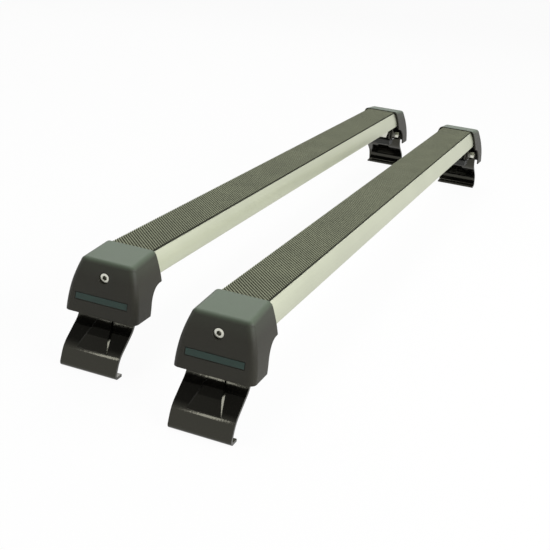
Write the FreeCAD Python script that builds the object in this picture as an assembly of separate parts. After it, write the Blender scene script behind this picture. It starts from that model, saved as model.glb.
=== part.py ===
"""A pair of roof cross bars: two aluminium bars with ribbed rubber tops, each on two feet.

Every foot has a moulded cover, a steel bracket on a rubber pad, and a sliding steel claw
that a socket screw draws inwards, so that its hook grips the edge of the roof.

Millimetres. X runs along the bars, Y across them and Z up. The origin is on the floor that
the claws stand on, midway between the bars and midway along the pair.

A bar is drawn with Z = 0 on top of its rubber strip. A foot is drawn in its own frame, with
X outwards along the bar from the inner edge of the cover, and the same Z.
"""

import FreeCAD, Part

import math
import os

V = FreeCAD.Vector
X_AXIS, Y_AXIS, Z_AXIS = V(1, 0, 0), V(0, 1, 0), V(0, 0, 1)

# The pair
bar_spacing = 156.0
bar_stagger = 56.0
cover_edge = 460.0

# Rubber strip on top of the bar
strip_width = 48.6
strip_thickness = 3.0
strip_end_gap = 0.3
rib_pitch = 3.15
rib_groove_width = 1.75
rib_groove_depth = 1.1
rib_angle = 45.0

# Aluminium bar
tray_gap = 0.6
bar_lip_width = 1.0
bar_lip_drop = 2.0
bar_flare = 7.6
bar_bulge = 1.2
bar_height = 23.0
bar_corner_radius = 3.0
bar_wall = 2.2
bar_overhang = 10.0
slot_opening = 11.0
slot_cavity_width = 19.0
slot_lip = 2.5
lower_slot_depth = 7.6
upper_slot_depth = 7.5
slot_clearance = 0.3

# Fasteners, all of one thread size
thread_radius = 3.0
thread_clearance = 0.05
bolt_clearance = 0.3
hex_across_flats = 10.0
hex_head_height = 4.0
socket_head_radius = 5.0
socket_head_height = 6.0
socket_across_flats = 5.0
socket_depth = 3.5
clamp_screw_length = 45.0
washer_radius = 6.0
washer_thickness = 1.2
nut_height = 6.0
bolt_end = 0.8
seat_gap = 0.05

# Foot bracket, a web with two cheeks folded from sheet steel
steel = 3.0
bracket_width = 54.0
bracket_inner_end = -50.0
bracket_outer_end = 27.0
bracket_bend_radius = 4.0
cheek_inner_end = 3.0
cheek_bottom = -52.0
cheek_corner_radius = 5.0
bracket_bolt_positions = (-41.0, -24.0)

# Pad plate, a strip folded down under the bracket's web
pad_plate_inner_end = -48.0
pad_plate_drop = 2.0
pad_plate_bend_radius = 4.0
pad_plate_bend_angle = 90.0
pad_plate_depth = 13.5
pad_plate_foot = 12.0
pad_plate_top_width = 39.0
pad_plate_bottom_width = 27.0

# Channel nut inside the lower slot of the bar
channel_nut_inner_end = -52.0
channel_nut_outer_end = 8.0
channel_nut_tapping = 36.0

# Rubber pad that stands on the roof
pad_inner_end = 1.0
pad_outer_end = 24.0
pad_width = 46.0
pad_thickness = 9.0
pad_corner_radius = 3.0

# Claw, folded from sheet steel
claw_travel = 12.0
claw_face = 43.6
claw_top = -9.0
claw_tongue_width = 30.0
claw_tongue_radius = 8.0
claw_upright = 48.4
claw_width = 66.0
claw_shoulder = -46.0
claw_flare_radius = 24.0
claw_flare_angle = 50.0
claw_shin = 20.0
claw_knee_radius = 30.0
claw_knee_angle = 32.0
claw_ankle = 8.0
claw_hook_radius = 3.5
claw_lip = 8.0
emboss_height = 2.2
emboss_top_width = 19.0
emboss_bottom_width = 36.0
emboss_start = -13.0
emboss_length = 41.0
emboss_draft = 2.0
emboss_fade = 16.0
ear_gap = 0.5
ear_top = -34.2
ear_bottom = -52.0
ear_inner_end = -1.4
ear_end_radius = 6.0
guide_position = 20.0
guide_height = -43.8
guide_clearance = 0.4

# Cover, a moulded shell
cover_wall = 2.0
cover_top = 1.3
cover_bottom = -60.5
cover_top_length = 48.0
cover_brow_drop = 4.5
cover_waist_length = 54.8
cover_waist = -28.0
cover_foot_length = 59.6
cover_brow_radius = 6.0
cover_face_radius = 140.0
cover_side_radius = 7.0
cover_inside_radius = 3.0
cover_heel = 27.0
cover_wing_tip = -30.5
cover_wing_root = 21.5
cover_wing_drop = 1.2
cover_sweep_radius = 22.0
cover_mid_height = -23.0
cover_inner_margins = (6.8, 7.8, 16.6)
cover_outer_margins = (4.0, 7.4, 18.0)
cover_hole_gap = 0.7
collar_wall = 2.0
collar_inner_end = 46.0
badge_width = 62.0
badge_height = 8.0
badge_depth = 0.8
badge_centre = -43.0
clip_top = -25.6
clip_height = 2.0
clip_reach = 2.6
clip_start = 2.0
clip_end = 9.0
cut_margin = 10.0

# Widths and levels that follow from the values above
tray_width = strip_width + 2 * tray_gap
bar_top_width = tray_width + 2 * bar_lip_width
bar_bottom_width = bar_top_width + 2 * bar_flare
bar_mid_width = (bar_top_width + bar_bottom_width) / 2 + 2 * bar_bulge
bar_widths = (bar_top_width, bar_bottom_width, bar_bottom_width)
cover_inner_widths = [width + margin for width, margin in zip(bar_widths, cover_inner_margins)]
cover_outer_widths = [width + margin for width, margin in zip(bar_widths, cover_outer_margins)]
tray_floor = -strip_thickness
bar_bottom = tray_floor - bar_height
slot_floor = bar_bottom + slot_lip
slot_roof = slot_floor + lower_slot_depth
screw_height = (slot_floor + slot_roof) / 2
bracket_top = bar_bottom - seat_gap
web_bottom = bracket_top - steel
pad_plate_level = web_bottom - seat_gap - steel / 2
cheek_inside = bracket_width / 2 - steel
claw_waist = 2 * (cheek_inside - ear_gap)
bolt_hole = thread_radius + bolt_clearance
tapped_hole = thread_radius + thread_clearance


def polygon(points):
    """A closed wire of straight lines."""
    return Part.makePolygon([*points, points[0]])


def rounded(corners, point):
    """A closed wire of (a, b, radius) corners; point turns (a, b) into a vector."""
    edges, tangents = [], []
    for i, (a, b, radius) in enumerate(corners):
        here = V(a, b, 0)
        before = (V(*corners[i - 1][:2], 0) - here).normalize()
        after = (V(*corners[(i + 1) % len(corners)][:2], 0) - here).normalize()
        half = before.getAngle(after) / 2
        arrive, leave = [here + side * (radius / math.tan(half)) for side in (before, after)]
        tangents.append((arrive, leave))
        if radius:
            middle = here + (before + after).normalize() * (radius / math.sin(half) - radius)
            edges.append(Part.Arc(*[point(p.x, p.y) for p in (arrive, middle, leave)]).toShape())
    for i, (arrive, _) in enumerate(tangents):
        start = tangents[i - 1][1]
        if start.distanceToPoint(arrive) > seat_gap:
            edges.append(Part.makeLine(point(start.x, start.y), point(arrive.x, arrive.y)))
    return Part.Wire(Part.__sortEdges__(edges))


def side_solid(corners, width):
    """A solid centred across Y, from an outline of (x, z, radius) corners."""
    wire = rounded(corners, lambda x, z: V(x, -width / 2, z))
    return Part.Face(wire).extrude(V(0, width, 0))


def section_solid(corners, start, end):
    """A solid along X, from an outline of (y, z, radius) corners."""
    wire = rounded(corners, lambda y, z: V(start, y, z))
    return Part.Face(wire).extrude(V(end - start, 0, 0))


def sharp(points):
    """Corners with no rounding."""
    return [(a, b, 0) for a, b in points]


def mirrored(points):
    """Half an outline, closed by its mirror image."""
    return points + [(-p[0], *p[1:]) for p in reversed(points)]


def block(x0, x1, width, z0, z1):
    """A box centred across Y."""
    return Part.makeBox(x1 - x0, width, z1 - z0, V(x0, -width / 2, z0))


def rod(radius, start, end):
    """A round bar between two points."""
    return Part.makeCylinder(radius, (end - start).Length, start, end - start)


def hexagon(across_flats, start, end):
    """A hexagonal bar between two points."""
    radius = across_flats / math.sqrt(3)
    turns = [math.radians(a) for a in range(0, 360, 60)]
    corners = [V(radius * math.cos(a), radius * math.sin(a), 0) for a in turns]
    solid = Part.Face(polygon(corners)).extrude(V(0, 0, (end - start).Length))
    solid.Placement = FreeCAD.Placement(start, FreeCAD.Rotation(Z_AXIS, end - start))
    return solid


def side_circle(widths, levels):
    """The circle that a bulged side follows, through half of each width at its level."""
    return Part.Circle(*[V(width / 2, level, 0) for width, level in zip(widths, levels)])


def half_width(circle, z, outset=0.0):
    """Half the width between two bulged sides at a level, with the sides moved out by outset."""
    return circle.Center.x + math.sqrt((circle.Radius + outset) ** 2 - (z - circle.Center.y) ** 2)


def bulged_side(circle, side, x, z0, z1, outset=0.0):
    """One bulged side between two levels, as an edge; side is 1 or -1."""
    levels = (z0, (z0 + z1) / 2, z1)
    return Part.Arc(*[V(x, side * half_width(circle, z, outset), z) for z in levels]).toShape()


def make_bar():
    """The extrusion: a tray and slot above for the strip, a slot below for the feet, and two hollows."""
    half_opening, half_cavity = slot_opening / 2, slot_cavity_width / 2
    corner_top, corner_in = bar_bottom + bar_corner_radius, bar_bottom_width / 2 - bar_corner_radius
    turn = bar_corner_radius * (1 - math.sqrt(0.5))
    cavity_top, cavity_floor = tray_floor - slot_lip, tray_floor - slot_lip - upper_slot_depth
    circle = side_circle((bar_top_width, bar_mid_width, bar_bottom_width),
                         (-bar_lip_drop, (corner_top - bar_lip_drop) / 2, corner_top))
    below = mirrored([(corner_in, bar_bottom), (half_opening, bar_bottom), (half_opening, slot_floor),
                      (half_cavity, slot_floor), (half_cavity, slot_roof)])
    above = mirrored([(bar_top_width / 2, -bar_lip_drop), (tray_width / 2, -bar_lip_drop),
                      (tray_width / 2, tray_floor), (half_opening, tray_floor), (half_opening, cavity_top),
                      (half_cavity, cavity_top), (half_cavity, cavity_floor)])
    edges, hollows = [], []
    for path in (below, above):
        edges += Part.makePolygon([V(0, y, z) for y, z in path]).Edges
    for side in (1, -1):
        corner = [(bar_bottom_width / 2, corner_top), (bar_bottom_width / 2 - turn, bar_bottom + turn),
                  (corner_in, bar_bottom)]
        edges.append(Part.Arc(*[V(0, side * y, z) for y, z in corner]).toShape())
        edges.append(bulged_side(circle, side, 0, -bar_lip_drop, corner_top))
        top, bottom, inner = tray_floor - bar_wall, bar_bottom + bar_wall, half_cavity + bar_wall
        walls = [(half_width(circle, top, -bar_wall), top), (inner, top), (inner, bottom),
                 (half_width(circle, bottom, -bar_wall), bottom)]
        hollow = Part.makePolygon([V(0, side * y, z) for y, z in walls]).Edges
        hollow.append(bulged_side(circle, side, 0, top, bottom, -bar_wall))
        hollows.append(Part.Wire(Part.__sortEdges__(hollow)))
    outline = Part.Wire(Part.__sortEdges__(edges))
    face = Part.makeFace([outline, *hollows], "Part::FaceMakerBullseye")
    half_length = cover_edge + bar_overhang
    face.translate(V(-half_length, 0, 0))
    return face.extrude(V(2 * half_length, 0, 0))


def make_rubber_strip():
    """The rubber strip: a slab with diagonal ribs and a tongue that is pressed into the upper slot."""
    neck, head = slot_opening / 2 - slot_clearance, slot_cavity_width / 2 - slot_clearance
    seat = tray_floor + seat_gap
    head_top = tray_floor - slot_lip - slot_clearance
    head_bottom = tray_floor - slot_lip - upper_slot_depth + slot_clearance
    outline = mirrored([(strip_width / 2, 0), (strip_width / 2, seat), (neck, seat), (neck, head_top),
                        (head, head_top), (neck, head_bottom)])
    half_length = cover_edge - strip_end_gap
    strip = section_solid(sharp(outline), -half_length, half_length)

    along = V(math.cos(math.radians(rib_angle)), math.sin(math.radians(rib_angle)), 0)
    across = V(along.y, -along.x, 0)
    reach, lift = along * strip_width, V(0, 0, rib_groove_depth)
    groove = Part.Face(polygon([across * rib_groove_width - reach + lift, -reach - lift,
                                -across * rib_groove_width - reach + lift])).extrude(reach * 2)
    step = rib_pitch / across.x
    count = int((half_length + strip_width / 2 * along.x / along.y) / step)
    return strip.cut([groove.translated(V(i * step, 0, 0)) for i in range(-count, count + 1)])


def make_bracket():
    """The bracket: a web bolted under the bar, and two cheeks that carry the guide bolt."""
    channel = mirrored([(bracket_width / 2, bracket_top, bracket_bend_radius),
                        (bracket_width / 2, cheek_bottom, 0), (cheek_inside, cheek_bottom, 0),
                        (cheek_inside, web_bottom, bracket_bend_radius - steel)])
    outline = [(bracket_inner_end, bracket_top, 0), (bracket_inner_end, web_bottom, 0),
               (cheek_inner_end, web_bottom, 0), (cheek_inner_end, cheek_bottom, cheek_corner_radius),
               (bracket_outer_end, cheek_bottom, cheek_corner_radius), (bracket_outer_end, bracket_top, 0)]
    channel = section_solid(channel, bracket_inner_end, bracket_outer_end)
    guide, across = V(guide_position, 0, guide_height), V(0, bracket_width, 0)
    holes = [rod(bolt_hole, V(x, 0, web_bottom), V(x, 0, bracket_top)) for x in bracket_bolt_positions]
    holes.append(rod(bolt_hole, guide - across, guide + across))
    return channel.common(side_solid(outline, bracket_width)).cut(holes)


def make_channel_nut():
    """The nut bar in the lower slot, tapped for the bracket bolts and, from its end, for the screw."""
    neck, head = slot_opening / 2 - slot_clearance, slot_cavity_width / 2 - slot_clearance
    low, top = slot_floor + seat_gap, slot_roof - slot_clearance
    outline = mirrored([(head, top), (head, low), (neck, low), (neck, bar_bottom + slot_clearance)])
    nut = section_solid(sharp(outline), channel_nut_inner_end, channel_nut_outer_end)
    mouth = V(channel_nut_outer_end, 0, screw_height)
    holes = [rod(tapped_hole, V(x, 0, bar_bottom), V(x, 0, slot_roof)) for x in bracket_bolt_positions]
    return nut.cut([*holes, rod(tapped_hole, mouth - X_AXIS * channel_nut_tapping, mouth)])


def make_bracket_bolts():
    """The hexagon bolts that hold the bracket and the pad plate up to the channel nut."""
    seat, bolts = pad_plate_level - steel / 2 - seat_gap, []
    for x in bracket_bolt_positions:
        head = hexagon(hex_across_flats, V(x, 0, seat - hex_head_height), V(x, 0, seat))
        bolts.append(head.fuse(rod(thread_radius, V(x, 0, seat), V(x, 0, slot_roof - bolt_end))))
    return Part.makeCompound(bolts)


class SheetPath:
    """Straight runs and tangent bends in X and Z, followed by a sheet between two offsets."""

    def __init__(self, place, heading, low, high):
        self.place, self.heading, self.offsets = place, heading, (low, high)
        self.edges = ([], [])
        self.first = self.beside()

    def forward(self):
        """The direction of travel."""
        a = math.radians(self.heading)
        return V(math.cos(a), 0, math.sin(a))

    def left(self):
        """The direction to the left of travel."""
        ahead = self.forward()
        return V(-ahead.z, 0, ahead.x)

    def beside(self):
        """The two points of the sheet's faces beside the present place."""
        return [self.place + self.left() * offset for offset in self.offsets]

    def run(self, length):
        """Goes straight on."""
        before = self.beside()
        self.place = self.place + self.forward() * length
        for edges, start, end in zip(self.edges, before, self.beside()):
            edges.append(Part.makeLine(start, end))
        return self

    def bend(self, radius, turn):
        """Turns left by a positive angle and right by a negative one."""
        hand = math.copysign(radius, turn)
        pivot = self.place + self.left() * hand
        stations = [self.beside()]
        for _ in range(2):
            self.heading += turn / 2
            self.place = pivot - self.left() * hand
            stations.append(self.beside())
        for edges, points in zip(self.edges, zip(*stations)):
            edges.append(Part.Arc(*points).toShape())
        return self

    def solid(self, width):
        """The sheet as a solid centred across Y."""
        ends = [Part.makeLine(*self.first), Part.makeLine(*self.beside())]
        face = Part.Face(Part.Wire(Part.__sortEdges__([*self.edges[0], *self.edges[1], *ends])))
        face.translate(V(0, -width / 2, 0))
        return face.extrude(V(0, width, 0))


def pad_plate_path():
    """The pad plate's path, out along the web, down, and out again above the pad."""
    path = SheetPath(V(pad_plate_inner_end, 0, pad_plate_level), 0, -steel / 2, steel / 2)
    path.run(pad_plate_drop - pad_plate_inner_end).bend(pad_plate_bend_radius, -pad_plate_bend_angle)
    return path.run(pad_plate_depth).bend(pad_plate_bend_radius, pad_plate_bend_angle).run(pad_plate_foot)


def make_pad_plate():
    """The pad plate: bolted under the bracket, tapering down to the foot that the pad is bonded to."""
    path = pad_plate_path()
    top, bottom = pad_plate_level + steel / 2, path.place.z - steel / 2
    outline = mirrored([(pad_plate_top_width / 2, top), (pad_plate_bottom_width / 2, bottom)])
    taper = section_solid(sharp(outline), pad_plate_inner_end, path.place.x)
    holes = [rod(bolt_hole, V(x, 0, top - steel), V(x, 0, top)) for x in bracket_bolt_positions]
    return path.solid(pad_plate_top_width).common(taper).cut(holes)


def make_pad():
    """The rubber pad that stands on the roof."""
    top = pad_plate_path().place.z - steel / 2 - seat_gap
    low = top - pad_thickness
    outline = [(pad_inner_end, top, 0), (pad_inner_end, low, pad_corner_radius),
               (pad_outer_end, low, pad_corner_radius), (pad_outer_end, top, 0)]
    return side_solid(outline, pad_width)


def claw_thigh(low, high):
    """The claw's path from its top to the start of its shin."""
    path = SheetPath(V(claw_face - steel / 2, 0, claw_top), -90, low, high)
    return path.run(claw_upright).bend(claw_flare_radius, claw_flare_angle)


def claw_leg(low, high):
    """The claw's path from its top to its ankle."""
    return claw_thigh(low, high).run(claw_shin).bend(claw_knee_radius, -claw_knee_angle).run(claw_ankle)


def emboss_outline(inset):
    """The pressed panel's outline, square to the shin: drafted sides, a fading foot and an open top."""
    path = claw_thigh(-steel / 2, steel / 2)
    down, out = path.forward(), path.left()
    wires = []
    for height, draft, fade in ((-claw_knee_radius / 2, 0, 0), (steel / 2, 0, 0),
                                (steel / 2 + emboss_height, emboss_draft, emboss_fade),
                                (steel / 2 + emboss_height + cut_margin, emboss_draft, emboss_fade)):
        rows = []
        for along in (inset + draft, emboss_length - inset - fade):
            spread = (emboss_bottom_width - emboss_top_width) * along / emboss_length
            half = (emboss_top_width + spread) / 2 - inset - draft
            row = path.place + out * height + down * (emboss_start + along)
            rows.append((row + Y_AXIS * half, row - Y_AXIS * half))
        (first, second), (last, third) = rows
        wires.append(polygon([first, last, third, second]))
    return Part.makeLoft(wires, True, True)


def make_claw():
    """The claw: a tongue for the screw, ears that slide in the bracket, an embossed shin and a hook."""
    half = steel / 2
    leg = claw_leg(-half, half)
    claw = leg.bend(claw_hook_radius, -180 - leg.heading).run(claw_lip).solid(claw_width)
    inner, outer = claw_face - steel - cut_margin, claw_face + cut_margin
    half_tongue = claw_tongue_width / 2
    tongue = section_solid(mirrored([(half_tongue, ear_top, 0), (half_tongue, claw_top, claw_tongue_radius)]),
                           inner, outer)
    kept = block(inner, outer, claw_waist, claw_shoulder, ear_top).fuse(tongue)
    claw = claw.cut(block(inner, outer, claw_width, claw_shoulder, cut_margin).cut(kept))

    panel = claw_leg(-half, half + emboss_height).solid(claw_width).common(emboss_outline(0))
    pocket = claw_leg(-steel, emboss_height - half).solid(claw_width).common(emboss_outline(half))
    claw = claw.fuse(panel).cut(pocket)

    ear = [(claw_face - half, ear_top, 0), (claw_face - half, ear_bottom, 0),
           (ear_inner_end, ear_bottom, ear_end_radius), (ear_inner_end, ear_top, ear_end_radius)]
    between = block(ear_inner_end, claw_face - steel, claw_waist - 2 * steel, ear_bottom, ear_top)
    claw = claw.fuse(side_solid(ear, claw_waist).cut(between))
    reach = thread_radius + guide_clearance
    slot = [rod(reach, V(x, -claw_width, guide_height), V(x, claw_width, guide_height))
            for x in (guide_position, guide_position + claw_travel)]
    slot.append(block(guide_position, guide_position + claw_travel, claw_width,
                      guide_height - reach, guide_height + reach))
    screw = V(0, 0, screw_height)
    return claw.cut([*slot, rod(bolt_hole, screw + X_AXIS * inner, screw + X_AXIS * outer)]).removeSplitter()


def washer(start, direction):
    """A plain washer that lies on start and faces along a direction."""
    end = start + direction * washer_thickness
    return rod(washer_radius, start, end).cut(rod(bolt_hole, start, end))


def make_clamp_washer():
    """The washer between the screw's head and the claw."""
    return washer(V(claw_face + seat_gap, 0, screw_height), X_AXIS)


def make_clamp_screw():
    """The socket screw that draws the claw in."""
    seat = V(claw_face + washer_thickness + 2 * seat_gap, 0, screw_height)
    crown = seat + X_AXIS * socket_head_height
    shank = rod(thread_radius, seat - X_AXIS * clamp_screw_length, seat)
    screw = rod(socket_head_radius, seat, crown).fuse(shank)
    return screw.cut(hexagon(socket_across_flats, crown - X_AXIS * socket_depth, crown))


def guide_seat(direction):
    """Where the head or the nut of the guide bolt bears on its washer."""
    reach = bracket_width / 2 + washer_thickness + 2 * seat_gap
    return V(guide_position, 0, guide_height) + direction * reach


def make_guide_bolt():
    """The hexagon bolt across the bracket, which the slots in the claw's ears run on."""
    seat, end = guide_seat(Y_AXIS), guide_seat(-Y_AXIS) - Y_AXIS * (nut_height + bolt_end)
    head = hexagon(hex_across_flats, seat, seat + Y_AXIS * hex_head_height)
    return head.fuse(rod(thread_radius, end, seat))


def make_guide_washers():
    """The washers under the head and the nut of the guide bolt."""
    return Part.makeCompound([washer(guide_seat(out) - out * seat_gap, -out) for out in (Y_AXIS, -Y_AXIS)])


def make_guide_nut():
    """The nut on the guide bolt."""
    seat = guide_seat(-Y_AXIS)
    end = seat - Y_AXIS * nut_height
    return hexagon(hex_across_flats, end, seat).cut(rod(tapped_hole, end, seat))


def cover_section(x, top, bottom, outset):
    """The cover's section at x: flat above and below, with bulged sides that flare downwards."""
    widths = [a + (b - a) * x / cover_foot_length for a, b in zip(cover_inner_widths, cover_outer_widths)]
    circle = side_circle(widths, (cover_top, cover_mid_height, cover_bottom))
    edges = [bulged_side(circle, side, x, top, bottom, outset) for side in (1, -1)]
    for z in (top, bottom):
        reach = half_width(circle, z, outset)
        edges.append(Part.makeLine(V(x, reach, z), V(x, -reach, z)))
    return Part.Wire(Part.__sortEdges__(edges))


def cover_body(start, top, bottom, outset):
    """The cover's tapering body from start to its outer end, with its sides moved out by outset."""
    ends = [cover_section(x, top, bottom, outset) for x in (start, cover_foot_length)]
    return Part.makeLoft(ends, True, True)


def cover_roof(x, inset):
    """The level of the cover's sloping top at x, or of its ceiling at a wall's inset."""
    return cover_top - inset - cover_brow_drop * x / cover_top_length


def cover_form(inset, rim_radius, inner_end, bottom):
    """The cover's outside, or its inside at a wall's inset, with rounded edges along the top and the end."""
    start, brow = cover_roof(inner_end, inset), cover_top_length - inset
    side = side_solid([(inner_end, start, 0), (brow, cover_roof(brow, inset), cover_brow_radius - inset),
                       (cover_waist_length - inset, cover_waist, cover_face_radius - inset),
                       (cover_foot_length - inset, bottom, 0), (inner_end, bottom, 0)],
                      max(cover_outer_widths) + cut_margin)
    form = cover_body(inner_end, start, bottom, -inset).common(side)
    rims = [edge for edge in form.Edges if abs(edge.CenterOfMass.y) > cut_margin
            and edge.CenterOfMass.z > cover_roof(edge.CenterOfMass.x, inset) - seat_gap]
    return form.makeFillet(rim_radius, rims)


def make_cover():
    """The cover: a shell, open below and inwards, with a hole for the screw and a bare badge recess."""
    wide = max(cover_outer_widths) + cut_margin
    outer = cover_form(0, cover_side_radius, 0, cover_bottom)
    sweep = side_solid([(-cut_margin, cover_wing_tip, 0), (0, cover_wing_tip, 0),
                        (cover_wing_root, cover_wing_tip - cover_wing_drop, cover_sweep_radius),
                        (cover_heel, cover_bottom, 0), (cover_heel, cover_bottom - cut_margin, 0),
                        (-cut_margin, cover_bottom - cut_margin, 0)], wide)
    outer = outer.cut(sweep)
    cover = outer.cut(cover_form(cover_wall, cover_inside_radius, -cut_margin, cover_bottom - cut_margin))

    hole = socket_head_radius + cover_hole_gap
    start, end = V(collar_inner_end, 0, screw_height), V(cover_foot_length, 0, screw_height)
    cover = cover.fuse(rod(hole + collar_wall, start, end).common(outer)).cut(rod(hole, start, end))
    badge = block(collar_inner_end, cover_foot_length, badge_width,
                  badge_centre - badge_height / 2, badge_centre + badge_height / 2)
    cover = cover.cut(badge.cut(outer.translated(V(-badge_depth, 0, 0))))

    section = Part.Face(cover_section(clip_end, clip_top, clip_top - clip_height, -cover_wall))
    wall = section.BoundBox.YMax
    clips = block(clip_start, clip_end, 2 * wall + cover_wall, clip_top - clip_height, clip_top)
    gap = block(clip_start, clip_end, 2 * (wall - clip_reach), clip_top - clip_height, clip_top)
    return cover.fuse(clips.cut(gap)).removeSplitter()


def export(shape, name, place):
    """Writes one node as a STEP file, moved to its place in the pair."""
    shape = shape.Solids[0].copy() if len(shape.Solids) == 1 else shape.copy()
    shape.Placement = place.multiply(shape.Placement)
    shape.exportStep(f"parts/{name}.step")


bar_pieces = {"bar": make_bar(), "rubber_strip": make_rubber_strip()}
foot_pieces = {"cover": make_cover(), "bracket": make_bracket(), "pad_plate": make_pad_plate(),
               "pad": make_pad(),
               "channel_nut": make_channel_nut(), "bracket_bolts": make_bracket_bolts(),
               "claw": make_claw(), "clamp_washer": make_clamp_washer(), "clamp_screw": make_clamp_screw(),
               "guide_bolt": make_guide_bolt(), "guide_washers": make_guide_washers(),
               "guide_nut": make_guide_nut()}
strip_top = -foot_pieces["claw"].optimalBoundingBox().ZMin

os.makedirs("parts", exist_ok=True)
for bar, way in (("front", -1), ("rear", 1)):
    middle = V(way * bar_stagger / 2, way * bar_spacing / 2, strip_top)
    for name, shape in bar_pieces.items():
        export(shape, f"{bar}_{name}", FreeCAD.Placement(middle, FreeCAD.Rotation()))
    for end, side, turn in (("left", -1, 180), ("right", 1, 0)):
        place = FreeCAD.Placement(middle + X_AXIS * side * cover_edge, FreeCAD.Rotation(Z_AXIS, turn))
        for name, shape in foot_pieces.items():
            export(shape, f"{bar}_{end}_{name}", place)
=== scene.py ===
import bpy, math
from mathutils import Matrix, Vector


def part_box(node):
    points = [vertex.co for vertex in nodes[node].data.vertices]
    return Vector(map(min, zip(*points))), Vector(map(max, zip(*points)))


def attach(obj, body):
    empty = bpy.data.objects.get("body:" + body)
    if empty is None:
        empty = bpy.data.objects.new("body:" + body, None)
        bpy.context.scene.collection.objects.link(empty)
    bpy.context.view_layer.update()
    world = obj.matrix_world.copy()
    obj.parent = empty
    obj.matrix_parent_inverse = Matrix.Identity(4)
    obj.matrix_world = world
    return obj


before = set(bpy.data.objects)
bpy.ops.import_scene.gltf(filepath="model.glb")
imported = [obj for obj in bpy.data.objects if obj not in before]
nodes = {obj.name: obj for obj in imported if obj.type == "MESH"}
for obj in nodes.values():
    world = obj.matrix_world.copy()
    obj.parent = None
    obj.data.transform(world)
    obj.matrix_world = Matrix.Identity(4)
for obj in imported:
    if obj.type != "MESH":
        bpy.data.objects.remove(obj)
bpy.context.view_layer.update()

# Bars: hollow aluminium extrusions with bulged sides, sawn to length and satin anodised.
# The die leaves faint lines along the bar, and the anodic layer clouds the sheen a little.


class Signal:
    """One value in a material's node tree; arithmetic on it adds Math nodes."""

    def __init__(self, tree, socket=None):
        self.tree, self.socket = tree, socket

    def node(self, kind, output, inputs, **settings):
        """Adds a node, makes its settings, then fills its sockets, and gives one output."""
        made = self.tree.nodes.new("ShaderNode" + kind)
        for name, value in settings.items():
            setattr(made, name, value)
        for name, value in inputs.items():
            if isinstance(value, Signal):
                self.tree.links.new(value.socket, made.inputs[name])
            else:
                made.inputs[name].default_value = value
        return Signal(self.tree, made.outputs[output]) if made.outputs else None

    def sum(self, operation, first, second):
        return self.node("Math", 0, {0: first, 1: second}, operation=operation)

    def __add__(self, other):
        return self.sum("ADD", self, other)

    def __sub__(self, other):
        return self.sum("SUBTRACT", self, other)

    def __rsub__(self, other):
        return self.sum("SUBTRACT", other, self)

    def __mul__(self, other):
        return self.sum("MULTIPLY", self, other)

    def __truediv__(self, other):
        return self.sum("DIVIDE", self, other)

    __radd__, __rmul__ = __add__, __mul__

    def clamped(self):
        return self.node("Clamp", 0, {"Value": self})

    def blend(self, low, high):
        """A colour between two others, with this value as the share of the second."""
        return self.node("Mix", 2, {0: self, 6: low, 7: high}, data_type="RGBA")

    def place(self, scale=(1, 1, 1), turn=0.0):
        """Object coordinates in metres, stretched and turned about Z."""
        raw = self.node("TexCoord", "Object", {})
        return raw.node("Mapping", 0, {"Vector": raw, "Scale": scale, "Rotation": (0, 0, turn)})

    def noise(self, scale, detail=2.0, stretch=(1, 1, 1), turn=0.0):
        """Cloudy values from 0 to 1, with scale features to the metre."""
        spot = self.place(stretch, turn)
        return self.node("TexNoise", "Fac", {"Vector": spot, "Scale": scale, "Detail": detail})


def tone(red, green, blue):
    """A screen colour of 0 to 255 as Blender's linear colour."""
    shares = [value / 255 for value in (red, green, blue)]
    linear = [share / 12.92 if share <= 0.04045 else ((share + 0.055) / 1.055) ** 2.4
              for share in shares]
    return (*linear, 1)


def start_finish(name):
    """An empty material and the value that its nodes start from."""
    finish = bpy.data.materials.new(name)
    finish.use_nodes = True
    finish.node_tree.nodes.clear()
    return finish, Signal(finish.node_tree)


def close_finish(signal, normal, inputs):
    """Joins a Principled surface to the material's output."""
    surface = signal.node("BsdfPrincipled", 0, {**inputs, "Normal": normal})
    signal.node("OutputMaterial", 0, {"Surface": surface})


def dress(finish, *names):
    """Gives CAD nodes a finish in every material slot."""
    for name in names:
        slots = nodes[name].material_slots
        for slot in slots:
            slot.material = finish
        if not slots:
            nodes[name].data.materials.append(finish)


dull_silver, bright_silver = tone(183, 187, 166), tone(204, 207, 187)
aluminium, start = start_finish("satin_aluminium")
die_lines = start.noise(900, detail=3.0, stretch=(0.004, 1, 1))
clouds = start.noise(14, detail=3.0)
anodised = (die_lines * 0.5 + clouds * 0.5).blend(dull_silver, bright_silver)
bump = start.node("Bump", 0, {"Height": die_lines, "Strength": 0.25, "Distance": 0.00004})
close_finish(start, bump, {"Base Color": anodised, "Metallic": 1.0,
                           "Roughness": 0.36 + 0.10 * die_lines + 0.06 * clouds})
dress(aluminium, "front_bar", "rear_bar")

# Rubber strips: black EPDM with slanting ribs, pressed into the tray on top of each bar.
# The rib tops that face up are painted grey, partly real dust and chalking and partly painted
# light from above, and the grooves are kept dark as painted shade.

strip_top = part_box("front_rubber_strip")[1].z
rib_height = 0.0011
groove_shade_black, chalk_and_lit_grey = tone(30, 31, 25), tone(134, 138, 115)


def height(signal):
    """The height above the floor in metres."""
    raw = signal.node("TexCoord", "Object", {})
    return raw.node("SeparateXYZ", "Z", {0: raw})


def upward(signal):
    """How far the surface faces up, from 0 on walls and undersides to 1 on level tops."""
    facing = signal.node("NewGeometry", "Normal", {})
    return facing.node("SeparateXYZ", "Z", {0: facing}).clamped()


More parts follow.
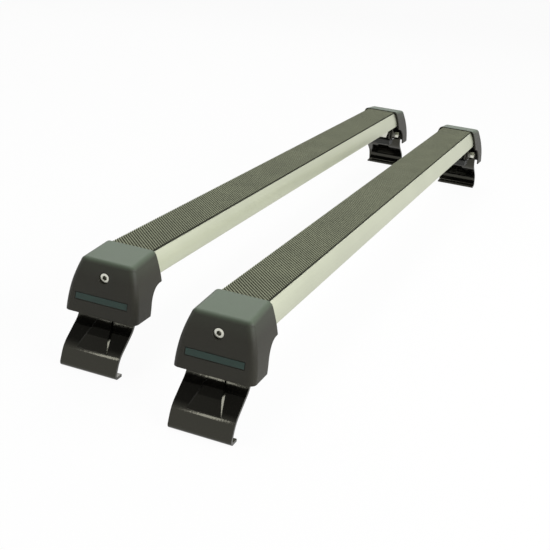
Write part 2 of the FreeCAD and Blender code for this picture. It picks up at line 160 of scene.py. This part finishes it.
rubber, start = start_finish("ribbed_rubber")
# Painted light and shade: up-facing rib tops are lightened and the grooves below them stay black,
# mixed with real chalking and specks.
depth = ((strip_top - height(start)) / rib_height).clamped()
specks = start.noise(2600)
worn = start.noise(30, detail=4.0)
chalk_and_painted_light = upward(start) * (1 - depth) * (0.6 + 0.5 * worn) + 0.12 * specks
bump = start.node("Bump", 0, {"Height": specks, "Strength": 0.5, "Distance": 0.0001})
close_finish(start, bump, {"Base Color": chalk_and_painted_light.clamped().blend(groove_shade_black, chalk_and_lit_grey),
                           "Roughness": 0.70 + 0.15 * worn, "Specular IOR Level": 0.12})
dress(rubber, "front_rubber_strip", "rear_rubber_strip")

# Covers: shells moulded in black plastic with an etched matt grain, clipped over the bar's ends.
# Handling polishes them in patches, and the level faces near the top are painted a pale green-grey
# as a painted sheen from the light above.

feet = [f"{bar}_{end}" for bar in ("front", "rear") for end in ("left", "right")]
cover_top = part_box("front_left_cover")[1].z
sheen_reach, sheen_fade = 0.022, 0.012
moulded_black, polished_black, painted_sheen_green = tone(31, 29, 22), tone(42, 40, 31), tone(90, 103, 86)
plastic, start = start_finish("grained_plastic")
grain = start.noise(1500, detail=3.0)
patches = start.noise(22, detail=3.0)
# Painted sheen: faces that look up near the cover's top are painted pale green-grey in place of
# light falling from above.
sheen_crown = ((height(start) - cover_top + sheen_reach) / sheen_fade).clamped()
level = upward(start) * upward(start)
painted_top_sheen = (level * sheen_crown * (0.80 + 0.30 * patches) + 0.04 * grain).clamped()
moulded = (0.3 * grain + 0.7 * patches).blend(moulded_black, polished_black)
bevel = start.node("Bevel", 0, {"Radius": 0.0012}, samples=6)
bump = start.node("Bump", 0, {"Height": grain, "Strength": 0.35, "Distance": 0.00012,
                              "Normal": bevel})
close_finish(start, bump, {"Base Color": painted_top_sheen.blend(moulded, painted_sheen_green),
                           "Roughness": 0.42 + 0.10 * patches + 0.08 * grain,
                           "Specular IOR Level": 0.28})
dress(plastic, *[f"{foot}_cover" for foot in feet])

# Inlays: dark green plates of satin film on plastic, snapped into the recess on each cover's end.
# They are plain, with a rolled edge and a fine frame pressed into the face.

inlay_length, inlay_height, inlay_thickness = 0.0606, 0.0066, 0.0006
inlay_reach, inlay_drop = 0.0566, 0.0430
recess_run, recess_drop = 0.0048, 0.0325
inlay_lean = math.atan2(recess_run, recess_drop)
frame_steps = ((0.0005, 0.0), (0.0003, -0.00015), (0.0003, 0.00015))
edge_radius = 0.0002


def face_of(mesh, way):
    """Selects the face that looks most along a direction, and nothing else."""
    faces = mesh.polygons
    bpy.ops.object.mode_set(mode="OBJECT")
    chosen = max(faces, key=lambda face: face.normal.dot(way))
    for part in (*mesh.vertices, *mesh.edges, *faces):
        part.select = part == chosen
    bpy.ops.object.mode_set(mode="EDIT")


def make_inlay(name):
    """A plate across Y, facing along X, with its frame line and rounded edges."""
    bpy.ops.object.select_all(action="DESELECT")
    bpy.ops.mesh.primitive_cube_add(size=1)
    plate = bpy.context.object
    plate.name = plate.data.name = name
    bpy.ops.transform.resize(value=(inlay_thickness, inlay_length, inlay_height))
    bpy.ops.object.transform_apply(scale=True)
    bpy.ops.object.mode_set(mode="EDIT")
    bpy.ops.mesh.select_mode(type="FACE")
    face_of(plate.data, Vector((1, 0, 0)))
    for inset, rise in frame_steps:
        bpy.ops.mesh.inset(thickness=inset, depth=rise)
    bpy.ops.object.mode_set(mode="OBJECT")
    roll = plate.modifiers.new("rolled_edge", "BEVEL")
    roll.width, roll.segments = edge_radius, 2
    roll.limit_method, roll.angle_limit = "ANGLE", 0.9
    bpy.ops.object.modifier_apply(modifier=roll.name)
    return plate


film_dark, film_light = tone(16, 34, 29), tone(30, 62, 52)
inlay_film, start = start_finish("green_satin_film")
flow = start.noise(90, detail=3.0)
grain = start.noise(2400, stretch=(1, 0.05, 1))
bump = start.node("Bump", 0, {"Height": grain, "Strength": 0.2, "Distance": 0.00003})
close_finish(start, bump, {"Base Color": (0.5 * flow + 0.5 * grain).blend(film_dark, film_light),
                           "Roughness": 0.30 + 0.15 * flow, "Specular IOR Level": 0.4})
for foot in feet:
    inlay = make_inlay(f"{foot}_inlay")
    low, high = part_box(f"{foot}_cover")
    middle = (low.y + high.y) / 2
    way = -1 if "left" in foot else 1
    edge = high.x if way < 0 else low.x
    lean = Matrix.Rotation(-way * inlay_lean, 4, "Y")
    turn = lean @ Matrix.Rotation(math.pi / 2 * (1 - way), 4, "Z")
    seat = (edge + way * inlay_reach, middle, strip_top - inlay_drop)
    inlay.data.transform(Matrix.Translation(seat) @ turn)
    inlay.data.materials.append(inlay_film)
    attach(inlay, "bars")

# Claws and brackets: pressed steel sheet under a thick gloss black powder coat.
# The coat flows out with a faint orange peel, and thins on the edges.

coat_black, haze_black = tone(8, 8, 7), tone(16, 15, 13)
warm_sheen = (1, 0.98, 0.80, 1)
gloss, start = start_finish("gloss_black_coat")
peel = start.noise(420, detail=1.0)
haze = start.noise(35, detail=3.0)
bevel = start.node("Bevel", 0, {"Radius": 0.0005}, samples=6)
bump = start.node("Bump", 0, {"Height": peel, "Strength": 0.12, "Distance": 0.0002,
                              "Normal": bevel})
close_finish(start, bump, {"Base Color": haze.blend(coat_black, haze_black),
                           "Roughness": 0.05 + 0.07 * haze,
                           "Specular IOR Level": 0.5, "Specular Tint": warm_sheen})
dress(gloss, *[f"{foot}_{piece}" for foot in feet for piece in ("claw", "bracket")])

# Fasteners and pad plates: steel with a bright zinc plating, a little clouded by its passivation.
# Screws, nuts and washers are barrel plated, so their finish is even.
# Sockets and corners are painted dark brown from ambient occlusion, as painted shade.

zinc_grey, zinc_pale, shade_brown = tone(196, 197, 188), tone(222, 221, 206), tone(46, 44, 38)
zinc, start = start_finish("bright_zinc")
cloud = start.noise(160, detail=4.0)
scratch = start.noise(2200, stretch=(1, 0.08, 1), turn=0.6)
bump = start.node("Bump", 0, {"Height": scratch, "Strength": 0.2, "Distance": 0.00003})
plated = cloud.blend(zinc_grey, zinc_pale)
# Painted shade: where ambient occlusion finds the surface hemmed in, the colour is darkened
# towards brown.
openness = start.node("AmbientOcclusion", "AO", {"Distance": 0.004}, samples=8)
occlusion_shade = ((0.85 - openness) * 1.6).clamped()
close_finish(start, bump, {"Base Color": occlusion_shade.blend(plated, shade_brown), "Metallic": 1.0,
                           "Roughness": 0.20 + 0.12 * cloud + 0.06 * scratch})
fasteners = ("channel_nut", "bracket_bolts", "clamp_washer", "clamp_screw", "guide_bolt",
             "guide_washers", "guide_nut")
dress(zinc, *[f"{foot}_{piece}" for foot in feet for piece in ("pad_plate", *fasteners)])

# Pads: moulded black rubber, bonded under the pad plates to stand on the roof.
# The mould leaves a dull, slightly powdery skin.

pad_black, pad_grey = tone(28, 28, 28), tone(52, 52, 50)
pad_rubber, start = start_finish("moulded_rubber")
skin = start.noise(1900, detail=3.0)
powder = start.noise(60, detail=4.0)
bump = start.node("Bump", 0, {"Height": skin, "Strength": 0.4, "Distance": 0.00012})
close_finish(start, bump, {"Base Color": powder.blend(pad_black, pad_grey),
                           "Roughness": 0.62 + 0.18 * powder})
dress(pad_rubber, *[f"{foot}_pad" for foot in feet])

# Studio: a plain white floor, a pale surround that dims overhead, and soft boxes behind, beside
# and above the bars, with two small ones beyond the left feet.
# The camera stands low beyond the left ends, as the photograph does.


def shown(signal):
    """1 for what the camera sees, straight, mirrored or through glass, and 0 for falling light."""
    kinds = ("Camera", "Glossy", "Transmission")
    rays = [signal.node("LightPath", f"Is {kind} Ray", {}) for kind in kinds]
    return (rays[0] + rays[1] + rays[2]).clamped()


bpy.ops.object.select_all(action="DESELECT")
bpy.ops.mesh.primitive_plane_add(size=24)
floor = bpy.context.object
floor.name = "studio_floor"
paper, start = start_finish("white_paper")
seen = shown(start)
lit = start.node("BsdfDiffuse", 0, {"Color": tone(236, 236, 234)})
bright = start.node("Emission", 0, {"Color": (1, 1, 1, 1), "Strength": 1.0})
mixed = start.node("MixShader", 0, {0: seen * 0.95, 1: lit, 2: bright})
start.node("OutputMaterial", 0, {"Surface": mixed})
floor.data.materials.append(paper)

falling_light, backdrop_light = 0.40, 1.00
dusk_start, dusk_span, dusk_share = 0.42, 0.40, 0.88
surround = bpy.data.worlds.new("pale_surround")
bpy.context.scene.world = surround
surround.use_nodes = True
surround.node_tree.nodes.clear()
start = Signal(surround.node_tree)
ray = start.node("TexCoord", "Generated", {})
rise = ray.node("SeparateXYZ", "Z", {0: ray})
dusk = ((rise - dusk_start) / dusk_span).clamped()
glow = falling_light + (backdrop_light - falling_light) * shown(start)
sky = start.node("Background", 0, {"Color": (1, 1, 1, 1),
                                   "Strength": glow * (1 - dusk_share * dusk)})
start.node("OutputWorld", 0, {"Surface": sky})

aim = Vector((-0.1, 0, 0.06))
for name, place, width, length, power in (
        ("back_soft_box", (1.9, 1.0, 1.5), 2.2, 1.2, 16.0),
        ("side_soft_box", (-0.3, -1.9, 1.2), 2.4, 1.0, 52.0),
        ("top_soft_box", (-0.25, 0.25, 1.5), 0.9, 0.5, 9.0),
        ("front_small_box", (-1.48, 0.34, 0.66), 0.06, 0.18, 0.25),
        ("rear_small_box", (-1.36, 0.60, 0.66), 0.06, 0.18, 0.25)):
    lamp = bpy.data.lights.new(name, "AREA")
    lamp.shape, lamp.size, lamp.size_y, lamp.energy = "RECTANGLE", width, length, power
    box = bpy.data.objects.new(name, lamp)
    box.location = place
    box.rotation_euler = (aim - Vector(place)).to_track_quat("-Z", "Y").to_euler()
    bpy.context.scene.collection.objects.link(box)

stand = (-1.3075, -0.4148, 0.4799)
yaw, pitch, roll = 0.358, 0.366, 0.096
camera = bpy.data.objects.new("camera", bpy.data.cameras.new("camera"))
bpy.context.scene.collection.objects.link(camera)
camera.data.sensor_width = 36.0
camera.data.lens = 65.45
turn = (Matrix.Rotation(yaw - math.pi / 2, 4, "Z") @ Matrix.Rotation(math.pi / 2 - pitch, 4, "X")
        @ Matrix.Rotation(roll, 4, "Z"))
camera.matrix_world = Matrix.Translation(stand) @ turn
camera.data.clip_end = 60.0
bpy.context.scene.camera = camera
bpy.context.scene.view_settings.view_transform = "Standard"
